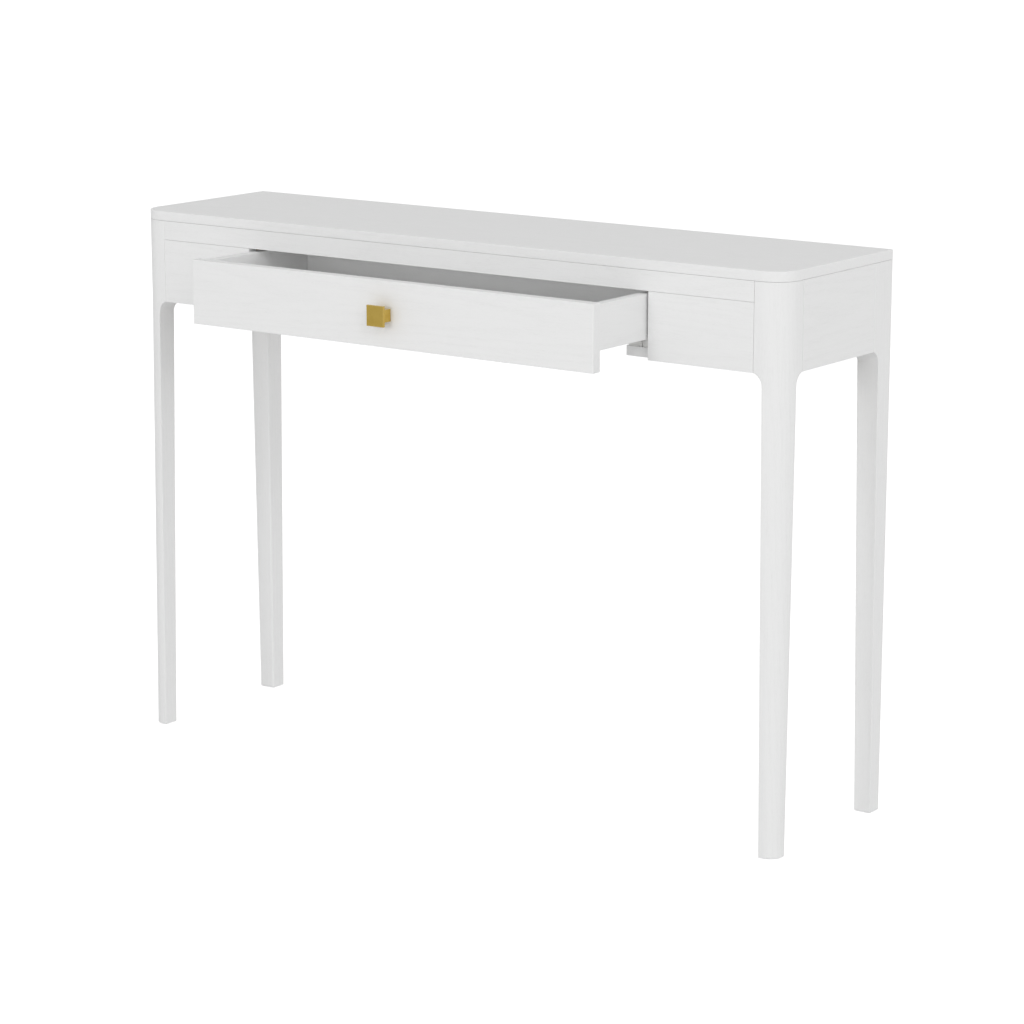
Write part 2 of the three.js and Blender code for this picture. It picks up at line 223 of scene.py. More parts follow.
def makeHandling():
    look = handlingMarks
    inputs = {"Brush": 900.0}
    tree, given, put = newGroup("handling marks", inputs, ("Smudge", "Brushed", "Scratches"))
    place = addNode(tree, "TexCoord").outputs["Object"]
    smudge = remap(tree, noiseAt(tree, place, look["smudges"], 4, 0.6), *look["smudgeLimits"])
    spread = {0: given["Brush"], 1: given["Brush"], 2: look["brushAlong"]}
    brushed = noiseAt(tree, place, addNode(tree, "CombineXYZ", spread).outputs[0], 2)
    strokes = look["firstScratches"]
    leaning = addNode(tree, "VectorRotate", {"Vector": place, "Angle": strokes["angle"]})
    first = noiseAt(tree, leaning.outputs[0], strokes["stretch"], 1)
    strokes = look["secondScratches"]
    turn = {"Vector": place, "Angle": strokes["angle"]}
    turned = addNode(tree, "VectorRotate", turn, rotation_type="Y_AXIS")
    second = noiseAt(tree, turned.outputs[0], strokes["stretch"], 1)
    scratches = remap(tree, calc(tree, "MAXIMUM", first, second), *look["scratchLimits"])
    for label, value in (("Smudge", smudge), ("Brushed", brushed), ("Scratches", scratches)):
        tree.links.new(value, put[label])
    return tree


woodFigure = makeWoodFigure()
edgeMask = makeEdgeMask()
handling = makeHandling()

whitePaint = {
    "film": (0.898, 0.900, 0.898, 1),  # lacquer where it lies thick
    "shadeAndRingGrey": (0.78, 0.78, 0.775, 1),  # painted shade down in the open pores and streak valleys, also the rings' own darker tone
    "high": (0.925, 0.925, 0.92, 1),  # painted highlight on raised fibres and eased edges
    "ringWidth": 7 * mm,
    "roughness": (0.44, 0.58),
    "valleys": (0.44, 0.30),  # limits on the streaks
    "crests": (0.58, 0.72),
    "shade": {"rings": 0.03, "valleys": 0.13, "pores": 0.20},  # towards the darker grey: rings are the wood's own tone, valleys and pores are painted shade
    "lift": {"edges": 0.30, "crests": 0.25},  # painted highlight, towards the high colour
    "relief": {"streaks": 0.9, "fibres": 0.35, "pores": -0.8, "rings": -0.12},
    "bump": 0.22,
    "reach": 0.2 * mm,
}


def makeWhitePaint():
    look, relief = whitePaint, whitePaint["relief"]
    shade, lift = whitePaint["shade"], whitePaint["lift"]
    material, tree, shader = newMaterial(
        "white open grain paint", Specular_IOR_Level=0.32, Metallic=0.0)
    wood = placeGroup(tree, woodFigure, ringWidth=look["ringWidth"])
    eased = placeGroup(tree, edgeMask, patchy=0.4)["Mask"]
    marks = placeGroup(tree, handling)
    onFlat = calc(tree, "SUBTRACT", 1.0, eased)
    pores = calc(tree, "MULTIPLY", wood["Pores"], onFlat)
    valleys = remap(tree, wood["Streaks"], *look["valleys"])
    crests = remap(tree, wood["Streaks"], *look["crests"])
    # painted shade in the streak valleys and open pores, plus the rings' own darker tone
    paintedShadeAndRings = calc(tree, "MULTIPLY", valleys, shade["valleys"])
    paintedShadeAndRings = calc(tree, "MULTIPLY_ADD", wood["Ring"], shade["rings"], paintedShadeAndRings)
    paintedShadeAndRings = calc(tree, "MULTIPLY_ADD", pores, shade["pores"], paintedShadeAndRings, clamp=True)
    # painted highlight: lighter on streak crests and eased edges
    paintedHighlight = calc(tree, "MULTIPLY", crests, lift["crests"])
    paintedHighlight = calc(tree, "MULTIPLY_ADD", eased, lift["edges"], paintedHighlight, clamp=True)
    colour = mixColours(tree, paintedShadeAndRings, look["film"], look["shadeAndRingGrey"])
    colour = mixColours(tree, paintedHighlight, colour, look["high"])
    sheen = calc(tree, "MULTIPLY_ADD", pores, 0.35, calc(tree, "MULTIPLY", marks["Smudge"], 0.65))
    roughness = remap(tree, sheen, 0, 1, *look["roughness"])
    height = calc(tree, "MULTIPLY", wood["Fibres"], relief["fibres"])
    height = calc(tree, "MULTIPLY_ADD", wood["Streaks"], relief["streaks"], height)
    height = calc(tree, "MULTIPLY_ADD", pores, relief["pores"], height)
    height = calc(tree, "MULTIPLY_ADD", wood["Ring"], relief["rings"], height)
    plug(tree, shader, look, height, Base_Color=colour, Roughness=roughness)
    return material


bareWood = {
    "early": (0.66, 0.50, 0.31, 1),
    "late": (0.47, 0.31, 0.16, 1),
    "worn": (0.74, 0.60, 0.41, 1),
    "ringWidth": 3.2 * mm,
    "wander": 6 * mm,
    "taper": 0.02,
    "roughness": (0.62, 0.82),
    "sawScale": 52.0,
    "sawRelief": 0.25,
    "bump": 0.4,
    "reach": 0.3 * mm,
}


def makeBareWood():
    look = bareWood
    material, tree, shader = newMaterial("bare planed softwood", Specular_IOR_Level=0.25)
    wood = placeGroup(tree, woodFigure, ringWidth=look["ringWidth"], wander=look["wander"],
                      taper=look["taper"])
    eased = placeGroup(tree, edgeMask, patchy=0.7)["Mask"]
    late = calc(tree, "SUBTRACT", 1.0, wood["Ring"])
    tone = calc(tree, "MULTIPLY_ADD", wood["Fibres"], 0.5, calc(tree, "MULTIPLY", late, 0.5))
    colour = mixColours(tree, remap(tree, tone, 0.2, 0.85), look["early"], look["late"])
    colour = mixColours(tree, calc(tree, "MULTIPLY", eased, 0.6), colour, look["worn"])
    roughness = remap(tree, wood["Fibres"], 0.3, 0.7, *look["roughness"])
    place = addNode(tree, "Attribute", attribute_name="grain").outputs["Vector"]
    lines = {"Vector": place, "Scale": look["sawScale"], "Distortion": 3.0}
    saw = addNode(tree, "TexWave", lines, bands_direction="X").outputs["Fac"]
    height = calc(tree, "MULTIPLY_ADD", saw, look["sawRelief"], wood["Streaks"])
    plug(tree, shader, look, height, Base_Color=colour, Roughness=roughness)
    return material


brass = {
    "gold": (0.685, 0.485, 0.117, 1),
    "deep": (0.615, 0.425, 0.093, 1),
    "rubbed": (0.72, 0.53, 0.18, 1),
    "roughness": (0.09, 0.20),
    "brush": 1300.0,
    "bump": 0.06,
    "reach": 0.03 * mm,
}


def makeBrass():
    look = brass
    material, tree, shader = newMaterial("polished gold brass", Metallic=1.0)
    marks = placeGroup(tree, handling, brush=look["brush"])
    eased = placeGroup(tree, edgeMask, patchy=0.3)["Mask"]
    colour = mixColours(tree, remap(tree, marks["Smudge"], 0.2, 1), look["gold"], look["deep"])
    colour = mixColours(tree, calc(tree, "MULTIPLY", eased, 0.7), colour, look["rubbed"])
    worn = calc(tree, "MULTIPLY_ADD", marks["Scratches"], 0.4, calc(tree, "MULTIPLY", marks["Smudge"], 0.6))
    roughness = remap(tree, worn, 0, 1, *look["roughness"])
    height = calc(tree, "MULTIPLY_ADD", marks["Scratches"], -0.4, marks["Brushed"])
    plug(tree, shader, look, height, Base_Color=colour, Roughness=roughness)
    return material


zinc = {
    "bright": (0.60, 0.62, 0.64, 1),
    "dull": (0.42, 0.44, 0.47, 1),
    "rubbed": (0.72, 0.73, 0.74, 1),
    "grainSize": 2.5 * mm,
}
yellowZinc = {
    "bright": (0.66, 0.54, 0.27, 1),
    "dull": (0.46, 0.44, 0.22, 1),
    "rubbed": (0.74, 0.66, 0.46, 1),
    "grainSize": 1.2 * mm,
}


plating = {"roughness": (0.26, 0.48), "bump": 0.15, "reach": 0.05 * mm}  # the same on both


def makePlated(name, look):
    material, tree, shader = newMaterial(name, Metallic=1.0)
    marks = placeGroup(tree, handling)
    eased = placeGroup(tree, edgeMask, patchy=0.5)["Mask"]
    place = addNode(tree, "TexCoord").outputs["Object"]
    spangle = addNode(tree, "TexVoronoi", {"Vector": place, "Scale": 1 / look["grainSize"]})
    tone = addNode(tree, "SeparateXYZ", {0: spangle.outputs["Color"]}).outputs["X"]
    dullness = calc(tree, "MULTIPLY_ADD", tone, 0.45, calc(tree, "MULTIPLY", marks["Smudge"], 0.45))
    colour = mixColours(tree, dullness, look["bright"], look["dull"])
    bare = calc(tree, "MULTIPLY_ADD", marks["Scratches"], 0.5, calc(tree, "MULTIPLY", eased, 0.6))
    colour = mixColours(tree, bare, colour, look["rubbed"])
    roughness = remap(tree, dullness, 0, 1, *plating["roughness"])
    height = calc(tree, "MULTIPLY_ADD", marks["Scratches"], -0.5, calc(tree, "MULTIPLY", tone, 0.3))
    plug(tree, shader, plating, height, Base_Color=colour, Roughness=roughness)
    return material


whiteCoat = {
    "white": (0.80, 0.80, 0.785, 1),
    "handled": (0.68, 0.675, 0.65, 1),
    "chipped": (0.40, 0.41, 0.42, 1),
    "roughness": (0.32, 0.52),
    "peelSize": 1.2 * mm,
    "bump": 0.2,
    "reach": 0.08 * mm,
}


def makeWhiteCoat():
    look = whiteCoat
    material, tree, shader = newMaterial("white epoxy coat on steel", Specular_IOR_Level=0.45)
    marks = placeGroup(tree, handling)
    place = addNode(tree, "TexCoord").outputs["Object"]
    peel = noiseAt(tree, place, (1 / look["peelSize"],) * 3, 2)
    colour = mixColours(tree, calc(tree, "MULTIPLY", marks["Smudge"], 0.6), look["white"], look["handled"])
    colour = mixColours(tree, calc(tree, "MULTIPLY", marks["Scratches"], 0.4), colour, look["chipped"])
    roughness = remap(tree, marks["Smudge"], 0, 1, *look["roughness"])
    height = calc(tree, "MULTIPLY_ADD", marks["Scratches"], -0.6, peel)
    plug(tree, shader, look, height, Base_Color=colour, Roughness=roughness)
    return material


finishes = {  # name: (material, slot in the record)
    "paint": (makeWhitePaint(), "white_paint"),
    "wood": (makeBareWood(), "bare_wood"),
    "brass": (makeBrass(), "brass"),
    "coat": (makeWhiteCoat(), "coated_steel"),
    "zinc": (makePlated("bright zinc plate", zinc), "zinc_steel"),
    "yellow": (makePlated("yellow zinc plate", yellowZinc), "wood_screw"),
}
print("finishes:", ", ".join(finishes))

# mesh helpers


def startMesh():
    mesh = bmesh.new()
    mesh.faces.layers.float.new("edge")
    return mesh


def markEdges(mesh, faces):
    layer = mesh.faces.layers.float["edge"]
    for face in faces:
        face[layer] = 1


def easedBoard(low, high, ease, steps=3):
    mesh = startMesh()
    low, high = Vector(low), Vector(high)
    size, middle = high - low, (low + high) / 2
    made = bmesh.ops.create_cube(mesh, size=1)
    for vertex in made["verts"]:
        vertex.co = Vector(a * b + c for a, b, c in zip(vertex.co, size, middle))
    bevelled = bmesh.ops.bevel(mesh, geom=mesh.edges[:], offset=ease, segments=steps,
                               profile=0.5, affect="EDGES")
    markEdges(mesh, bevelled["faces"])
    return mesh


# Closed skin through rings of equal point count; columns is True where a column is an eased edge.
def skin(rings, columns=None, easedRows=()):
    mesh = startMesh()
    rows = [[mesh.verts.new(point) for point in ring] for ring in rings]
    count = len(rows[0])
    for i, (row, above) in enumerate(zip(rows, rows[1:])):
        for j in range(count):
            k = (j + 1) % count
            face = mesh.faces.new((row[j], row[k], above[k], above[j]))
            if i in easedRows or (columns and columns[j]):
                markEdges(mesh, [face])
    mesh.faces.new(rows[0][::-1])
    mesh.faces.new(rows[-1])
    bmesh.ops.recalc_face_normals(mesh, faces=mesh.faces)
    return mesh


def pathLength(path):
    return sum((b - a).length for a, b in zip(path, path[1:]))


def pathPoint(path, distance):
    for a, b in zip(path, path[1:]):
        step = (b - a).length
        if distance <= step:
            return a.lerp(b, distance / step)
        distance -= step
    return path[-1].copy()


# Level outline along a closed chain of paths, with the corner at the start of each path eased.
def easedOutline(paths, reaches, pathSteps, cornerSteps=4):
    points, columns = [], []
    for i, path in enumerate(paths):
        before, reach, nextReach = paths[i - 1], reaches[i], reaches[(i + 1) % len(paths)]
        a = pathPoint(before, pathLength(before) - reach)
        b = pathPoint(path, reach)
        for k in range(cornerSteps):
            t = k / cornerSteps
            points.append(a.lerp(path[0], t).lerp(path[0].lerp(b, t), t))
            columns.append(True)
        flat = pathLength(path) - reach - nextReach
        for k in range(pathSteps[i]):
            points.append(pathPoint(path, reach + flat * k / pathSteps[i]))
            columns.append(False)
    return points, columns


def arcPath(middle, radius, start, stop, steps):
    angles = [math.radians(start + (stop - start) * i / steps) for i in range(steps + 1)]
    return [Vector((middle[0] + radius * math.cos(a), middle[1] + radius * math.sin(a))) for a in angles]


# The outline moved in by a distance, whichever way round it runs.
def inset(points, distance):
    area = sum(a.x * b.y - b.x * a.y for a, b in zip(points, points[1:] + points[:1]))
    side = 1 if area > 0 else -1
    moved = []
    for i, point in enumerate(points):
        before = (point - points[i - 1]).normalized()
        after = (points[(i + 1) % len(points)] - point).normalized()
        normal = Vector((-before.y - after.y, before.x + after.x)) * side
        normal.normalize()
        slant = max(0.3, abs(normal.dot(Vector((-before.y, before.x)))))
        moved.append(point + normal * distance / slant)
    return moved


# Heights and insets that round both ends of an upright prism.
def easedHeights(low, high, easeLow, easeHigh, steps=3):
    angles = [math.pi / 2 * i / steps for i in range(steps + 1)]
    start = [(low + easeLow * (1 - math.cos(a)), easeLow * (1 - math.sin(a))) for a in angles]
    stop = [(high - easeHigh * (1 - math.cos(a)), easeHigh * (1 - math.sin(a))) for a in angles]
    return start, stop[::-1]


def prism(outline, low, high, easeLow, easeHigh, columns=None):
    start, stop = easedHeights(low, high, easeLow, easeHigh)
    rings = [[(*point, z) for point in inset(outline, back)] for z, back in start + stop]
    rows = len(rings) - 1
    eased = [i for i in range(rows) if i != len(start) - 1]
    return skin(rings, columns, eased)


# Turned shape along +Z: each row is (height, radius), and a radius may be a function of the angle.
def turnedMesh(rows, count=24):
    mesh = startMesh()
    rings = []
    for z, radius in rows:
        ring = []
        for j in range(count):
            angle = 2 * math.pi * j / count
            r = radius(angle) if callable(radius) else radius
            ring.append(mesh.verts.new((r * math.cos(angle), r * math.sin(angle), z)))
        rings.append(ring)
    for row, above in zip(rings, rings[1:]):
        for j in range(count):
            k = (j + 1) % count
            mesh.faces.new((row[j], row[k], above[k], above[j]))
    mesh.faces.new(rings[0][::-1])
    mesh.faces.new(rings[-1])
    return mesh


# Rows of a helical thread between two heights, running out at both.
def threadRows(low, high, radius, depth, pitch, tip=0.0):
    rows, step = [], pitch / 4
    count = int((high - low) / step)
    for i in range(count + 1):
        z = low + (high - low) * i / count
        fade = min(1.0, (z - low) / pitch, (high - z) / pitch + (0.3 if tip else 0))
        core = radius
        if tip:
            core = radius * min(1.0, max(0.12, (high - z) / tip))

        def reachAt(angle, z=z, fade=fade, core=core):
            turn = (z / pitch - angle / (2 * math.pi)) % 1.0
            return max(core - depth * (1 - fade) * 0.5 - depth * fade * abs(2 * turn - 1), core * 0.5)
        rows.append((z, reachAt))
    return rows


def makeObject(name, mesh):
    data = bpy.data.meshes.new(name)
    mesh.to_mesh(data)
    mesh.free()
    made = bpy.data.objects.new(name, data)
    scene.collection.objects.link(made)
    return made


# Takes the tools' shapes out of a piece, and the tools out of the scene.
def carve(piece, tools):
    for tool in tools:
        cut = piece.modifiers.new("cut", "BOOLEAN")
        cut.object = tool
        cut.operation = "DIFFERENCE"
        cut.solver = "EXACT"
    graph = bpy.context.evaluated_depsgraph_get()
    evaluated = piece.evaluated_get(graph)
    carved = bpy.data.meshes.new_from_object(evaluated, preserve_all_data_layers=True, depsgraph=graph)
    piece.modifiers.clear()
    piece.data = carved
    for tool in tools:
        bpy.data.objects.remove(tool)


# Wood coordinates: x along the fibres, y over the wide face, z through it, with the pith at zero.
def layGrain(piece, axis):
    dice = random.Random(piece.name)
    points = [v.co for v in piece.data.vertices]
    low = Vector(map(min, zip(*points)))
    high = Vector(map(max, zip(*points)))
    along = "xyz".index(axis)
    across, through = sorted({0, 1, 2} - {along}, key=lambda i: low[i] - high[i])
    pithAcross = (low[across] + high[across]) / 2 + dice.uniform(-0.3, 0.3) * (high - low)[across]
    pithThrough = low[through] - dice.uniform(35, 80) * mm
    start = dice.uniform(0, 20)
    layer = piece.data.attributes.new("grain", "FLOAT_VECTOR", "POINT")
    for point, item in zip(points, layer.data):
        item.vector = (point[along] + start, point[across] - pithAcross, point[through] - pithThrough)


# Finish, shading, body and the CAD parts that the piece stands for.
def settle(piece, finish, body, nodes, grain=None, sharp=50):
    material, slot = finishes[finish]
    piece.data.materials.clear()
    piece.data.materials.append(material)
    if grain:
        layGrain(piece, grain)
    piece.data.polygons.foreach_set("use_smooth", [True] * len(piece.data.polygons))
    piece.data.set_sharp_from_angle(angle=math.radians(sharp))
    normals = piece.modifiers.new("even flats", "WEIGHTED_NORMAL")
    normals.keep_sharp = True
    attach(piece, body)
    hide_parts(*nodes)
    return piece


# Tool for a hole round a turned part, a little wider than it.
def boreTool(matrix, rows, count=24):
    tool = makeObject("bore", turnedMesh(rows, count))
    tool.matrix_world = matrix
    return tool


def slotTool(low, high):
    return makeObject("groove", easedBoard(low, high, 0.15 * mm, 1))


# screws and bolts

recess = {"arm": 0.52, "width": 0.19, "depth": 0.42, "taper": 0.55}  # in head radii
screws = {  # CAD sizes of each kind, and which way the head looks
    "top_screw": {"length": 54 * mm, "radius": 2 * mm, "head": 4 * mm, "pitch": 2.0 * mm},
    "rail_screw": {"length": 40 * mm, "radius": 2 * mm, "head": 4 * mm, "pitch": 2.0 * mm},
    "divider_screw": {"length": 40 * mm, "radius": 2 * mm, "head": 4 * mm, "pitch": 2.0 * mm},
    "slide_screw": {"length": 12 * mm, "radius": 1.75 * mm, "head": 3.4 * mm, "pitch": 1.4 * mm,
                    "down": True},
    "floor_screw": {"length": 5.4 * mm, "radius": 1.75 * mm, "head": 3.4 * mm, "pitch": 1.3 * mm},
}
countersink = {"rim": 0.15 * mm, "rimRise": 0.12 * mm, "land": 0.4 * mm, "core": 0.93, "thread": 0.32}
boreGap = 0.3 * mm  # as the CAD leaves it


def crossTools(headRadius, at=0.0):
    tools = []
    for turn in (0, 90):
        mesh = bmesh.new()
        made = bmesh.ops.create_cube(mesh, size=1)
        for vertex in made["verts"]:
            deep = vertex.co.z > 0
            shrink = recess["taper"] if deep else 1
            vertex.co = Vector((
                vertex.co.x * 2 * recess["arm"] * headRadius * shrink,
                vertex.co.y * 2 * recess["width"] * headRadius * (0.8 if deep else 1),
                at + (recess["depth"] if deep else -0.4) * headRadius,
            ))
        tool = makeObject("cross", mesh)
        tool.matrix_world = Matrix.Rotation(math.radians(turn), 4, "Z")
        tools.append(tool)
    return tools


# Height at which a countersunk head ends.
def neckOf(size):
    return size["head"] - size["radius"] + countersink["land"]


# Countersunk wood screw along +Z, the flat of its head at zero.
def makeScrewMesh(kind):
    size, shape = screws[kind], countersink
    radius, head, length = size["radius"], size["head"], size["length"]
    neck, core = neckOf(size), radius * shape["core"]
    rows = [(0, head - shape["rim"]), (shape["rimRise"], head), (shape["land"], head), (neck, core)]
    smooth = neck + (length * 0.25 if length > 20 * mm else 0.3 * mm)
    rows.append((smooth, core))
    depth = radius * shape["thread"]
    rows += threadRows(smooth + 0.01 * mm, length, radius, depth, size["pitch"], radius * 2)
    screw = makeObject(kind, turnedMesh(rows))
    carve(screw, crossTools(head))
    mesh = screw.data
    bpy.data.objects.remove(screw)
    return mesh


def screwMatrix(node, size):
    low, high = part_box(node)
    middle = (low + high) / 2
    if size.get("down"):
        return Matrix.Translation((middle.x, middle.y, high.z)) @ Matrix.Rotation(math.pi, 4, "X")
    return Matrix.Translation((middle.x, middle.y, low.z))


# Tool for the hole that the CAD leaves round a screw.
def screwBore(kind, node):
    size = screws[kind]
    radius, head = size["radius"] + boreGap, size["head"] + boreGap
    neck = neckOf(size) + boreGap
    rows = [(-1 * mm, head), (countersink["land"] + boreGap, head), (neck, radius),
            (size["length"] + boreGap, radius)]
    return boreTool(screwMatrix(node, size), rows)


def makeScrews():
    bodies = {"floor_screw": "drawer"}
    for kind, size in screws.items():
        mesh = makeScrewMesh(kind)
        finish = "zinc" if kind in ("slide_screw", "floor_screw") else "yellow"
        dice = random.Random(kind)
        for node in sorted(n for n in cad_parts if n.startswith(kind)):
            screw = bpy.data.objects.new("cross_head_" + node, mesh.copy())
            scene.collection.objects.link(screw)
            turn = Matrix.Rotation(dice.uniform(0, math.pi / 2), 4, "Z")
            screw.matrix_world = screwMatrix(node, size) @ turn
            settle(screw, finish, bodies.get(kind, "desk"), [node], sharp=35)
    print("screws done")


hangerBolt = {  # a wood thread in the leg and a finer one for the nut
    "radius": 4 * mm,
    "length": 62 * mm,
    "wood": {"from": 0.8 * mm, "to": 24 * mm, "depth": 0.28, "pitch": 3 * mm},
    "nut": {"from": 24.2 * mm, "to": 61.5 * mm, "depth": 0.14, "pitch": 1.25 * mm},
}
flangeNut = {"acrossFlats": 13 * mm, "height": 6.5 * mm, "flange": 8.6 * mm, "flangeHeight": 1.3 * mm}


# Frame at a corner joint: Z runs along the corner's diagonal, from the leg into the desk.
def diagonalAt(node, signX, signY, back):
    low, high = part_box(node)
    inwards = Vector((-signX, -signY, 0)).normalized()
    turn = inwards.to_track_quat("Z", "Y").to_matrix().to_4x4()
    return Matrix.Translation((low + high) / 2 - inwards * back) @ turn


def boltMatrix(corner, signX, signY):
    return diagonalAt("hanger_bolt_" + corner, signX, signY, hangerBolt["length"] / 2)


def boltBore(corner, signX, signY):
    radius, length = hangerBolt["radius"] + boreGap, hangerBolt["length"]
    rows = [(-boreGap, radius), (length + 1 * mm, radius)]
    return boreTool(boltMatrix(corner, signX, signY), rows)


def makeBoltsAndNuts():
    bolt, nut = hangerBolt, flangeNut
    radius, length = bolt["radius"], bolt["length"]
    boltRows = [(0, radius * 0.3)]
    for part in (bolt["wood"], bolt["nut"]):
        boltRows += threadRows(part["from"], part["to"], radius, radius * part["depth"], part["pitch"])
    boltRows.append((length, radius * 0.8))
    half = nut["acrossFlats"] / 2
    corner = half * 2 / math.sqrt(3)

    def hexagon(reach):
        def at(angle):
            return min(reach, half / math.cos((angle + math.pi / 6) % (math.pi / 3) - math.pi / 6))
        return at

    top, flange = nut["height"], nut["flange"]
    nutRows = [
        (0, flange - 0.2 * mm), (0.25 * mm, flange), (nut["flangeHeight"], flange - 0.3 * mm),
        (nut["flangeHeight"] + 0.5 * mm, hexagon(corner)), (top - 0.7 * mm, hexagon(corner)),
        (top - 0.25 * mm, hexagon(half * 1.06)), (top, half * 0.96),
    ]
    for end, signY in ends:
        for side, signX in sides:
            place = f"{end}_{side}"
            shank = makeObject("threaded_bolt_" + place, turnedMesh(boltRows, 20))
            shank.matrix_world = boltMatrix(place, signX, signY)
            settle(shank, "zinc", "desk", ["hanger_bolt_" + place], sharp=60)
            flanged = makeObject("flange_nut_" + place, turnedMesh(nutRows, 48))
            bore = [(-1 * mm, radius + 0.5 * mm), (0.4 * mm, radius + 0.1 * mm),
                    (top - 0.4 * mm, radius + 0.1 * mm), (top + 1 * mm, radius + 0.8 * mm)]
            carve(flanged, [boreTool(Matrix.Identity(4), bore)])
            flanged.matrix_world = diagonalAt("corner_nut_" + place, signX, signY, top / 2)
            settle(flanged, "zinc", "desk", ["corner_nut_" + place], sharp=30)
    print("bolts and nuts done")


# boards: grain is the axis that the fibres follow, and all but the dividers are painted

slab = {"frontRadius": 40 * mm, "rearRadius": 1.8 * mm, "topEase": 1.5 * mm, "underEase": 0.6 * mm}
boards = {
    "front_rail": {"grain": "x", "ease": 0.5 * mm, "screws": ("rail_screw",)},
    "back_apron": {"grain": "x", "ease": 0.8 * mm},
    "side_apron": {"grain": "y", "ease": 0.6 * mm, "pair": True},
    "front_panel": {"grain": "x", "ease": 0.5 * mm, "pair": True},
    "runner_board": {"grain": "y", "ease": 0.8 * mm, "pair": True,
                     "screws": ("divider_screw", "slide_screw")},
    "divider": {"grain": "y", "ease": 0.5 * mm, "pair": True, "screws": ("divider_screw",),
                "finish": "wood"},
}


def makeTabletop():
    size = slab
    low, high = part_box("tabletop")
    outline = []
    for signX, signY, start in ((-1, -1, 180), (1, -1, 270), (1, 1, 0), (-1, 1, 90)):
        radius = size["frontRadius"] if signY < 0 else size["rearRadius"]
        x = high.x - radius if signX > 0 else low.x + radius
        y = high.y - radius if signY > 0 else low.y + radius
        outline += arcPath((x, y), radius, start, start + 90, 28 if signY < 0 else 5)
    top = makeObject("painted_tabletop", prism(outline, low.z, high.z, size["underEase"], size["topEase"]))
    bored = [(kind, n) for kind in ("top_screw", "rail_screw")
             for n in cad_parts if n.startswith(kind)]
    carve(top, [screwBore(kind, n) for kind, n in bored])
    settle(top, "paint", "desk", ["tabletop"], grain="x")
    print("tabletop done")


def makeBoards():
    for name, size in boards.items():
        suffixes = ("_left", "_right") if size.get("pair") else ("",)
        for suffix in suffixes:
            node = name + suffix
            piece = makeObject("planed_" + node, easedBoard(*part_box(node), size["ease"]))
            bored = [(kind, n) for kind in size.get("screws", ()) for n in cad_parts
                     if n.startswith(kind) and n.endswith(suffix)]
            if bored:
                carve(piece, [screwBore(kind, n) for kind, n in bored])
            settle(piece, size.get("finish", "paint"), "desk", [node], grain=size["grain"])
    print("boards done")


# legs: square head, rounded haunch under the apron, long taper on the inner faces

leg = {
    "foot": (28 * mm, 27 * mm),
    "neck": (36.2 * mm, 35.8 * mm),
    "haunchRadius": 20 * mm,
    "frontCorner": (21 * mm, 40 * mm),  # at the foot and under the top
    "rearCorner": 1.8 * mm,
    "ease": 1.0 * mm,
    "innerEase": 3 * mm,
    "footEase": 1.2 * mm,
    "taperRows": 14,
    "haunchRows": 16,
}


def makeLegs():
    size = leg
    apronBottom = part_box("side_apron_right")[0].z
    for end, signY in ends:
        for side, signX in sides:
            corner = f"{end}_{side}"
            low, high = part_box("leg_" + corner)
            head = (high.x - low.x, high.y - low.y)
            outerX = high.x if signX > 0 else low.x
            outerY = high.y if signY > 0 else low.y
            radius = size["haunchRadius"]
            swell = head[0] - size["neck"][0]
            rise = math.sqrt(radius ** 2 - (radius - swell) ** 2)
            neckHeight = apronBottom - rise

            def sizeAt(z, axis):
                foot, neck, full = size["foot"][axis], size["neck"][axis], head[axis]
                if z >= apronBottom:
                    return full
                if z <= neckHeight:
                    return foot + (neck - foot) * z / neckHeight
                lift = radius - math.sqrt(radius ** 2 - (z - neckHeight) ** 2)
                return neck + (full - neck) * lift / swell

            # counted inwards from the leg's outer corner
            def outlineAt(z):
                width, depth = sizeAt(z, 0), sizeAt(z, 1)
                r = size["rearCorner"]
                if signY < 0:
                    footRadius, topRadius = size["frontCorner"]
                    r = footRadius + (topRadius - footRadius) * min(z / apronBottom, 1)
                start = 90 if width >= r else math.degrees(math.acos((r - width) / r))
                stop = 0 if depth >= r else math.degrees(math.asin((r - depth) / r))
                outer = arcPath((r, r), r, 180 + start, 180 + stop, 40)
                if width > r:
                    outer.insert(0, Vector((width, 0)))
                if depth > r:
                    outer.append(Vector((0, depth)))
                inner = Vector((width, depth))
                paths = [outer, [outer[-1], inner], [inner, outer[0]]]
                reaches = (size["ease"], size["ease"], size["innerEase"])
                return easedOutline(paths, reaches, (26, 4, 4))

            heights = easedHeights(low.z, high.z, size["footEase"], 0.5 * mm)
            rows = list(heights[0])
            rows += [(neckHeight * i / size["taperRows"], 0) for i in range(1, size["taperRows"] + 1)]
            for i in range(1, size["haunchRows"] + 1):
                rows.append((neckHeight + rise * math.sin(i / size["haunchRows"] * math.pi / 2), 0))
            rows.append((apronBottom + 1 * mm, 0))
            rows += heights[1]
            rings = []
            for z, back in rows:
                points, columns = outlineAt(z)
                rings.append([(outerX - signX * p.x, outerY - signY * p.y, z) for p in inset(points, back)])
            eased = [0, 1, 2, len(rings) - 4, len(rings) - 3, len(rings) - 2]
            piece = makeObject("tapered_leg_" + corner, skin(rings, columns, eased))
            carve(piece, [boltBore(corner, signX, signY)])
            settle(piece, "paint", "desk", ["leg_" + corner], grain="z")
    print("legs done")


cornerBlock = {"depth": 26 * mm, "ease": 1.2 * mm}


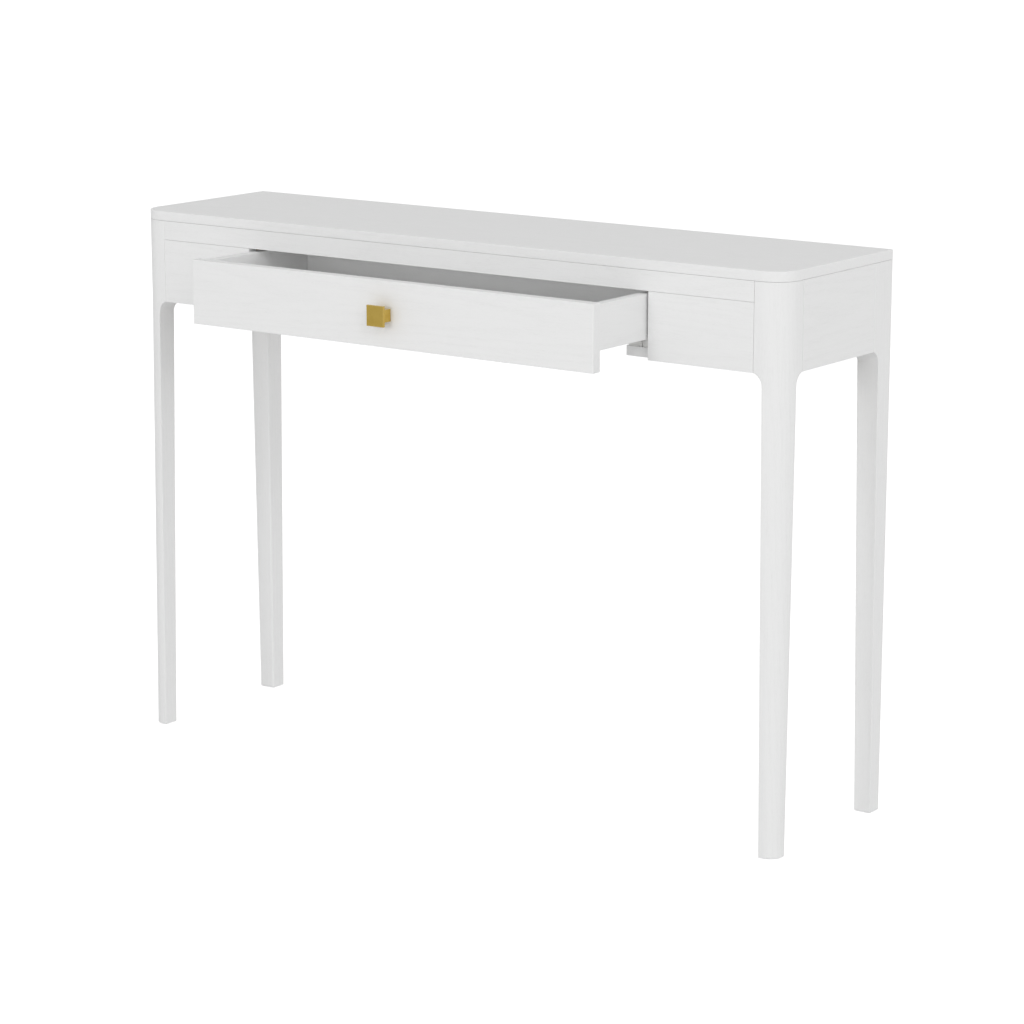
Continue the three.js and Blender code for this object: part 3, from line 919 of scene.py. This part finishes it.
def makeCornerBlocks():
    for end, signY in ends:
        for side, signX in sides:
            corner = f"{end}_{side}"
            low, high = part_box("corner_block_" + corner)
            outer = Vector((high.x if signX > 0 else low.x, high.y if signY > 0 else low.y))
            inner = Vector((low.x if signX > 0 else high.x, low.y if signY > 0 else high.y))
            run = cornerBlock["depth"] * math.sqrt(2)
            onSide = [Vector((outer.x, inner.y + signY * run)), Vector((outer.x, inner.y))]
            onPanel = [Vector((inner.x, outer.y)), Vector((inner.x + signX * run, outer.y))]
            corners = onSide + onPanel
            paths = [[a, b] for a, b in zip(corners, corners[1:] + corners[:1])]
            outline, columns = easedOutline(paths, [cornerBlock["ease"]] * 4, [2] * 4)
            block = makeObject("sawn_corner_block_" + corner, prism(
                outline, low.z, high.z, cornerBlock["ease"], 0.4 * mm, columns))
            carve(block, [boltBore(corner, signX, signY), screwBore("top_screw", "top_screw_" + corner)])
            settle(block, "wood", "desk", ["corner_block_" + corner], grain="x")
    print("corner blocks done")


# drawer

drawer = {"frontEase": 1.0 * mm, "sideEase": 1.0 * mm, "bottomEase": 0.3 * mm, "grooveGap": 0.3 * mm}
knob = {
    "plateEase": 0.7 * mm,
    "stemEase": 0.5 * mm,
    "screwRadius": 2 * mm,
    "screwPitch": 0.7 * mm,
    "screwThread": 0.18,  # depth in radii
    "screwHead": 4.5 * mm,
    "screwHeadHeight": 2.4 * mm,
    "screwHeadRound": 0.75,  # part of the head's height that is domed
}


# Place of a turned part that looks towards the front.
def facingFront(x, y, z):
    return Matrix.Translation((x, y, z)) @ Matrix.Rotation(math.pi / 2, 4, "X")


def makeDrawer():
    size = drawer
    gap = size["grooveGap"]
    bottomLow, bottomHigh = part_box("drawer_bottom")
    frontLow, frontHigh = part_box("drawer_front")
    groove = [Vector((bottomLow.x - gap, bottomLow.y - gap, bottomLow.z - gap)),
              Vector((bottomHigh.x + gap, bottomHigh.y + 2 * mm, bottomHigh.z + gap))]

    front = makeObject("drawer_front_board", easedBoard(frontLow, frontHigh, size["frontEase"], 4))
    screwLow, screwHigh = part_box("knob_screw")
    screwMiddle = (screwLow + screwHigh) / 2
    away = facingFront(screwMiddle.x, frontHigh.y, screwMiddle.z)
    hole = knob["screwRadius"] + boreGap
    bore = boreTool(away, [(-2 * mm, hole), (frontHigh.y - frontLow.y + 2 * mm, hole)])
    carve(front, [bore, slotTool(*groove)])
    settle(front, "paint", "drawer", ["drawer_front"], grain="x")

    for side, sign in sides:
        node = "drawer_side_" + side
        board = makeObject(node + "_board", easedBoard(*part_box(node), size["sideEase"]))
        carve(board, [slotTool(*groove)])
        settle(board, "paint", "drawer", [node], grain="y")

    back = makeObject("drawer_back_board", easedBoard(*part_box("drawer_back"), size["sideEase"]))
    settle(back, "paint", "drawer", ["drawer_back"], grain="x")
    panel = makeObject("drawer_bottom_panel", easedBoard(bottomLow, bottomHigh, size["bottomEase"], 2))
    floorScrews = [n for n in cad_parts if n.startswith("floor_screw")]
    carve(panel, [screwBore("floor_screw", n) for n in floorScrews])
    settle(panel, "paint", "drawer", ["drawer_bottom"], grain="x")
    print("drawer done")


def makeKnob():
    size = knob
    plate = makeObject("brass_knob_plate", easedBoard(*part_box("knob_plate"), size["plateEase"], 4))
    settle(plate, "brass", "drawer", ["knob_plate"])
    stemLow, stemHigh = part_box("knob_stem")
    stem = makeObject("brass_knob_stem", easedBoard(stemLow, stemHigh, size["stemEase"], 4))
    middle = (stemLow + stemHigh) / 2
    low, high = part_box("knob_screw")
    away = facingFront(middle.x, stemHigh.y, middle.z)
    hole = size["screwRadius"] + boreGap
    carve(stem, [boreTool(away, [(-1 * mm, hole), (stemHigh.y - low.y + boreGap, hole)])])
    settle(stem, "brass", "drawer", ["knob_stem"])

    radius, head, rise = size["screwRadius"], size["screwHead"], size["screwHeadHeight"]
    domed = size["screwHeadRound"]
    dome = [(rise - rise * math.cos(a) * domed - (1 - domed) * rise, head * math.sin(a) ** 0.7)
            for a in (math.pi / 2 * i / 6 for i in range(1, 7))]
    rows = [*dome, (rise - 0.2 * mm, head), (rise, head - 0.2 * mm), (rise + 0.01 * mm, radius)]
    depth = radius * size["screwThread"]
    rows += threadRows(rise + 0.5 * mm, high.y - low.y, radius, depth, size["screwPitch"])
    screw = makeObject("pan_head_knob_screw", turnedMesh(rows))
    carve(screw, crossTools(head * 0.9))
    screw.matrix_world = facingFront((low.x + high.x) / 2, high.y, (low.z + high.z) / 2)
    settle(screw, "zinc", "drawer", ["knob_screw"], sharp=35)
    print("knob done")


# undermount slides: rolled channels, with the middle section on rollers

slide = {
    "gauge": 1.5 * mm,
    "lip": 6 * mm,
    "bend": 1.4 * mm,
    "flange": 18 * mm,
    "web": 7 * mm,
    "lower": 2 * mm,
    "upper": 2.4 * mm,
    "fillet": 0.7 * mm,
    "holes": (0.08, 0.35, 0.65, 0.92),  # parts of the length
    "holeRadius": 2.4 * mm,
    "slotLength": 12 * mm,
}
roller = {
    "radius": 3.1 * mm,
    "length": 13 * mm,
    "chamfer": 0.5 * mm,
    "pin": 1 * mm,
    "groove": 0.3 * mm,
    "play": 0.1 * mm,
    "fromRear": (9 * mm, 52 * mm, 95 * mm),
}
frontStop = {"depth": 11 * mm, "play": 0.4 * mm, "ease": 0.6 * mm}
glideBlock = {"depth": 22 * mm, "play": 0.8 * mm, "ease": 0.9 * mm}


# Outline of a strip of an even gauge round a chain of points, its bends rounded.
def stripOutline(chain, gauge, bend, steps=5):
    line = [chain[0]]
    for before, point, after in zip(chain, chain[1:], chain[2:]):
        a = point + (before - point).normalized() * bend
        b = point + (after - point).normalized() * bend
        for i in range(steps + 1):
            t = i / steps
            line.append(a.lerp(point, t).lerp(point.lerp(b, t), t))
    line.append(chain[-1])
    left, right = [], []
    for i, point in enumerate(line):
        ahead = line[min(i + 1, len(line) - 1)] - line[max(i - 1, 0)]
        normal = Vector((-ahead.y, ahead.x)).normalized() * gauge / 2
        left.append(point + normal)
        right.append(point - normal)
    return left + right[::-1]


def alongY(outline, low, high):
    return skin([[(p.x, low, p.y) for p in outline], [(p.x, high, p.y) for p in outline]])


def channelMesh(node, isInverted):
    low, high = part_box(node)
    half, gauge = (high.x - low.x) / 2, slide["gauge"]
    middle = (low.x + high.x) / 2
    wall, mouth = half - gauge / 2, half - slide["lip"]
    floorZ, lipZ = low.z + gauge / 2, high.z - gauge / 2
    if isInverted:
        floorZ, lipZ = lipZ, floorZ
    chain = [Vector((middle + x, z)) for x, z in (
        (-mouth, lipZ), (-wall, lipZ), (-wall, floorZ), (wall, floorZ), (wall, lipZ), (mouth, lipZ))]
    return alongY(stripOutline(chain, gauge, slide["bend"]), low.y, high.y)


# Round holes and slots along the middle of a channel's floor.
def punchTools(node, z):
    low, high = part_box(node)
    middle, radius = (low.x + high.x) / 2, slide["holeRadius"]
    tools = []
    for part in slide["holes"]:
        y = low.y + (high.y - low.y) * part
        place = Matrix.Translation((middle, y, z - 3 * mm))
        tools.append(boreTool(place, [(0, radius), (6 * mm, radius)]))
    y = (low.y + high.y) / 2
    half = slide["slotLength"] / 2
    tools.append(slotTool((middle - radius * 0.8, y - half, z - 3 * mm),
                          (middle + radius * 0.8, y + half, z + 3 * mm)))
    return tools


# Stop in the mouth of a base section, and the block beside it that the drawer's side glides over.
def makeFrontStops(side, sign):
    low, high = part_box("slide_base_" + side)
    size, gauge = frontStop, slide["gauge"]
    play = size["play"]
    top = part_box("slide_middle_" + side)[0].z - play
    stopLow = (low.x + gauge + play, low.y, low.z + gauge)
    stopHigh = (high.x - gauge - play, low.y + size["depth"], top)
    stop = makeObject("slide_front_stop_" + side, easedBoard(stopLow, stopHigh, size["ease"]))
    settle(stop, "coat", "desk", [])

    size = glideBlock
    play = size["play"]
    wallLow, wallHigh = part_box("divider_" + side)
    edges = sorted(((high.x if sign > 0 else low.x) + sign * play,
                    (wallLow.x if sign > 0 else wallHigh.x) - sign * play))
    blockLow = (edges[0], low.y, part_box("runner_board_" + side)[1].z)
    blockHigh = (edges[1], low.y + size["depth"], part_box("drawer_side_" + side)[0].z - play)
    block = makeObject("drawer_glide_block_" + side, easedBoard(blockLow, blockHigh, size["ease"]))
    settle(block, "coat", "desk", [])


# Screwed channel, open side up for a base section and down for a top section.
def makeChannel(node, isInverted, kind, body):
    low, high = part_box(node)
    channel = makeObject("rolled_" + node, channelMesh(node, isInverted))
    side = node.rsplit("_", 1)[1]
    bores = [screwBore(kind, f"{kind}_{end}_{side}") for end, unused in ends]
    carve(channel, punchTools(node, high.z if isInverted else low.z) + bores)
    settle(channel, "coat", body, [node], sharp=40)


def makeMiddleSection(node):
    size = slide
    low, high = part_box(node)
    middle, flange, web = (low.x + high.x) / 2, size["flange"] / 2, size["web"] / 2
    lowTop, highBottom = low.z + size["lower"], high.z - size["upper"]
    corners = [Vector((middle + x, z)) for x, z in (
        (-flange, low.z), (flange, low.z), (flange, lowTop), (web, lowTop), (web, highBottom),
        (flange, highBottom), (flange, high.z), (-flange, high.z), (-flange, highBottom),
        (-web, highBottom), (-web, lowTop), (-flange, lowTop))]
    paths = [[a, b] for a, b in zip(corners, corners[1:] + corners[:1])]
    outline, unused = easedOutline(paths, [size["fillet"]] * 12, [1] * 12, 3)
    section = makeObject("rolled_" + node, alongY(outline, low.y, high.y))
    settle(section, "coat", node, [node], sharp=40)


# Rollers under a middle section, which run on the floor of the base section.
def makeRollers(side):
    size = roller
    node = "slide_middle_" + side
    low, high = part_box(node)
    half, chamfer, radius, pin = size["length"] / 2, size["chamfer"], size["radius"], size["pin"]
    grooved = radius - size["groove"]
    rows = [(-half - 1.2 * mm, pin * 0.8), (-half - 1 * mm, pin), (-half - 0.02 * mm, pin),
            (-half, radius - chamfer), (-half + chamfer, radius), (-0.8 * mm, radius),
            (-0.4 * mm, grooved), (0.4 * mm, grooved), (0.8 * mm, radius),
            (half - chamfer, radius), (half, radius - chamfer), (half + 0.02 * mm, pin),
            (half + 1 * mm, pin), (half + 1.2 * mm, pin * 0.8)]
    for i, back in enumerate(size["fromRear"]):
        wheel = makeObject(f"slide_roller_{i + 1}_{side}", turnedMesh(rows))
        place = ((low.x + high.x) / 2, high.y - back, low.z - radius - size["play"])
        wheel.matrix_world = Matrix.Translation(place) @ Matrix.Rotation(math.pi / 2, 4, "Y")
        settle(wheel, "zinc", node, [], sharp=30)


def makeSlides():
    for side, sign in sides:
        makeChannel("slide_base_" + side, False, "slide_screw", "desk")
        makeFrontStops(side, sign)
        makeChannel("slide_top_" + side, True, "floor_screw", "drawer")
        makeMiddleSection("slide_middle_" + side)
        makeRollers(side)
    print("slides done")


# studio: white floor, a sky that is brighter low down and to the right, and two soft lamps in front

studio = {
    "skyTop": 0.53,
    "skyRise": 0.53,  # added on the way down to the horizon
    "skyRight": 0.20,  # added to the right, taken off on the left
    "background": 1.0,
    "floorColour": (0.81, 0.81, 0.81, 1),
    "floorLift": 0.55,
    "floorSize": 300,
    "lampDistance": 5.0,
    "lamps": {
        "high lamp": {"from": (0.68, -0.53, 0.50), "size": 0.8, "power": 14},
        "low lamp": {"from": (0, -0.97, 0.235), "size": 0.8, "power": 26},
    },
}


def makeStudio():
    size = studio
    half = size["floorSize"] / 2
    mesh = bmesh.new()
    bmesh.ops.create_grid(mesh, x_segments=4, y_segments=4, size=half)
    floor = makeObject("floor", mesh)
    floor.location.z = -0.0005
    material, tree, shader = newMaterial("white floor", Base_Color=size["floorColour"], Roughness=0.9,
                                         Specular_IOR_Level=0.0, Emission_Strength=1.0)
    isSeen = addNode(tree, "LightPath").outputs["Is Camera Ray"]
    plug(tree, shader, Emission_Color=calc(tree, "MULTIPLY", isSeen, size["floorLift"]))
    floor.data.materials.append(material)

    world = bpy.data.worlds.new("low bright sky")
    world.use_nodes = True
    tree = world.node_tree
    towards = addNode(tree, "TexCoord").outputs["Generated"]
    towards = addNode(tree, "SeparateXYZ", {0: towards}).outputs
    sky = remap(tree, towards["Z"], 0, 1, size["skyTop"] + size["skyRise"], size["skyTop"])
    sky = calc(tree, "MULTIPLY_ADD", towards["X"], size["skyRight"], sky)
    isSeen = addNode(tree, "LightPath").outputs["Is Camera Ray"]
    strength = remap(tree, isSeen, 0, 1, sky, size["background"])
    tree.links.new(strength, tree.nodes["Background"].inputs["Strength"])
    tree.nodes["Background"].inputs["Color"].default_value = (1, 1, 1, 1)
    scene.world = world

    target = (cadBox[0] + cadBox[1]) / 2
    for name, look in size["lamps"].items():
        data = bpy.data.lights.new(name, "AREA")
        data.energy = look["power"]
        data.size = look["size"]
        lamp = bpy.data.objects.new(name, data)
        away = Vector(look["from"]).normalized()
        lamp.location = target + away * size["lampDistance"]
        lamp.rotation_euler = away.to_track_quat("Z", "Y").to_euler()
        scene.collection.objects.link(lamp)
    scene.view_settings.view_transform = "Standard"
    print("studio done")


makeCamera()
makeTabletop()
makeBoards()
makeLegs()
makeCornerBlocks()
makeBoltsAndNuts()
makeScrews()
makeDrawer()
makeKnob()
makeSlides()
makeStudio()
